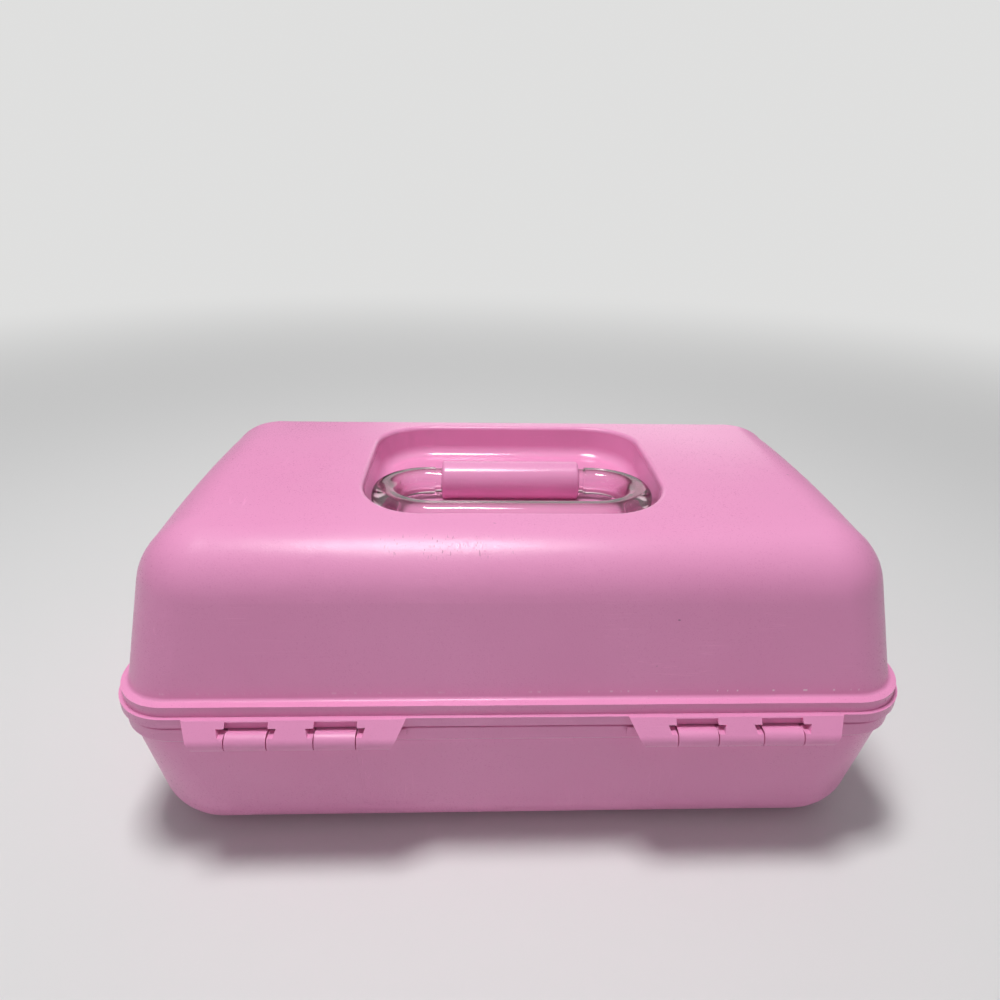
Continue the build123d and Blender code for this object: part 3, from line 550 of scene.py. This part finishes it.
tray_pale = pale_plastic("pale_tray", (0.93, 0.74, 0.81, 1), (0.90, 0.70, 0.78, 1), 0.30)
arm_pale = pale_plastic("pale_arm", (0.92, 0.80, 0.84, 1), (0.88, 0.76, 0.80, 1), 0.36)
print("pale plastics ready")

# %% [markdown]
# ## Steel, mirror and backing
# Pins and screws are zinc-plated steel with turning marks.  The mirror is silvered glass with
# a little dust, and its backing is a fibrous brown board.

# %% Steel
ZINC_LIGHT = (0.66, 0.66, 0.67, 1)
ZINC_STAINED = (0.48, 0.47, 0.46, 1)
SLOT_PAINTED_SHADE = (0.05, 0.05, 0.05, 1)
SLOT_HALF_WIDTH = 0.00042
SLOT_REACH = 0.0017


def slot(tree, across, along):
    """One bar of a driver recess, from the distances across it and along it."""
    return all_of(
        tree,
        remap(tree, across, SLOT_HALF_WIDTH - 0.00012, SLOT_HALF_WIDTH, 1.0, 0.0),
        remap(tree, along, SLOT_REACH - 0.0002, SLOT_REACH, 1.0, 0.0),
    )


def plated_steel(name, cross=None):
    """Plated steel with stains and turning marks; cross gives a driver recess its two spans,
    painted near-black as painted shade.
    """
    material, tree, shader = new_material(name)
    shader.inputs["Metallic"].default_value = 1.0
    stain = remap(tree, noise(tree, place(tree), 300.0, 3.0), 0.35, 0.7)
    colour = blend_colours(tree, stain, ZINC_LIGHT, ZINC_STAINED)
    turning = noise(tree, place(tree, (200, 4000, 4000)), 1.0, 2.0)
    height = turning
    if cross:
        first, second = cross(tree)
        slots = math_node(tree, "MAXIMUM", slot(tree, first, second), slot(tree, second, first))
        # Painted shade: the driver recess is painted near-black where its hollow would be dark,
        # over a bump that dents it.
        colour = faded(tree, colour, slots, 0.85, SLOT_PAINTED_SHADE)
        height = added(tree, turning, slots, -12.0)
    tree.links.new(colour, shader.inputs["Base Color"])
    tree.links.new(remap(tree, turning, 0.3, 0.7, 0.22, 0.42), shader.inputs["Roughness"])
    bump(tree, shader, height, 0.00003, 0.6)
    return material


MIRROR_SCREW_X, MIRROR_SCREW_Y = 0.102, 0.056
ARM_SCREW_MIDDLE_Y, ARM_SCREW_OFFSET_Y, ARM_SCREW_Z = -0.054, 0.010, 0.086


def from_pair(tree, value, middle, offset):
    """Distance from the nearer of two places that lie evenly about a middle."""
    return off_from(tree, off_from(tree, value, middle), offset)


def mirror_screw_cross(tree):
    """Distances from the middle of each of the four screws under the mirror's frame."""
    x, y, _ = axis_values(tree)
    return from_pair(tree, x, 0.0, MIRROR_SCREW_X), from_pair(tree, y, 0.0, MIRROR_SCREW_Y)


def arm_screw_cross(tree):
    """Distances from the middle of each screw that holds a lid arm."""
    _, y, z = axis_values(tree)
    along_lid = from_pair(tree, y, ARM_SCREW_MIDDLE_Y, ARM_SCREW_OFFSET_Y)
    return along_lid, off_from(tree, z, ARM_SCREW_Z)


steel = plated_steel("plated_steel")
mirror_screw_steel = plated_steel("mirror_screw_steel", mirror_screw_cross)
arm_screw_steel = plated_steel("arm_screw_steel", arm_screw_cross)
print("steel finishes:", steel.name, mirror_screw_steel.name, arm_screw_steel.name)

# %% Mirror glass
SILVER = (0.93, 0.94, 0.945, 1)
SOILED_SILVER = (0.72, 0.72, 0.72, 1)

mirror, tree, shader = new_material("silvered_mirror")
shader.inputs["Metallic"].default_value = 1.0
smear = remap(tree, noise(tree, place(tree, (30, 55, 30)), 1.0, 4.0, 0.6), 0.5, 0.8)
specks = remap(tree, noise(tree, place(tree), 900.0, 1.0), 0.70, 0.78)
soiled = math_node(tree, "ADD", math_node(tree, "MULTIPLY", smear, 0.08), specks, clamp=True)
tree.links.new(blend_colours(tree, soiled, SILVER, SOILED_SILVER), shader.inputs["Base Color"])
tree.links.new(added(tree, 0.012, soiled, 0.25), shader.inputs["Roughness"])
print("mirror ready")

# %% Backing board
BOARD_DARK = (0.20, 0.14, 0.10, 1)
BOARD_LIGHT = (0.30, 0.22, 0.16, 1)

board, tree, shader = new_material("backing_board")
fibres = noise(tree, place(tree, (60, 900, 900)), 1.0, 4.0, 0.7)
fibre_share = remap(tree, fibres, 0.3, 0.7)
board_colour = blend_colours(tree, fibre_share, BOARD_DARK, BOARD_LIGHT)
tree.links.new(board_colour, shader.inputs["Base Color"])
tree.links.new(remap(tree, fibres, 0.3, 0.7, 0.75, 0.95), shader.inputs["Roughness"])
bump(tree, shader, fibres, 0.0001, 0.6)
print("board ready")

# %% [markdown]
# ## Give each piece its finish
# Every piece keeps the mesh of the engineering model.  The shells, the latch and the mirror's
# frame come from one pink; the tray, its dividers and the arms from two pale ones.

# %% Assign the finishes
finishes = {
    "base_shell": shell_pink,
    "lid_shell": lid_pink,
    "latch": shell_pink,
    "mirror_frame": shell_pink,
    "handle": handle_clear,
    "tray": tray_pale,
    "tray_divider_1": tray_pale,
    "tray_divider_2": tray_pale,
    "tray_divider_3": tray_pale,
    "link_left": arm_pale,
    "link_right": arm_pale,
    "lid_arm_left": arm_pale,
    "lid_arm_right": arm_pale,
    "lid_pivot_pins": steel,
    "tray_pivot_pins": steel,
    "base_pivot_pins": steel,
    "arm_screws": arm_screw_steel,
    "mirror_screws": mirror_screw_steel,
    "mirror_glass": mirror,
    "mirror_backing": board,
}
for node_name, finish in finishes.items():
    mesh = nodes[node_name].data
    mesh.materials.clear()
    mesh.materials.append(finish)
print(len(finishes), "of", len(nodes), "nodes have a finish")
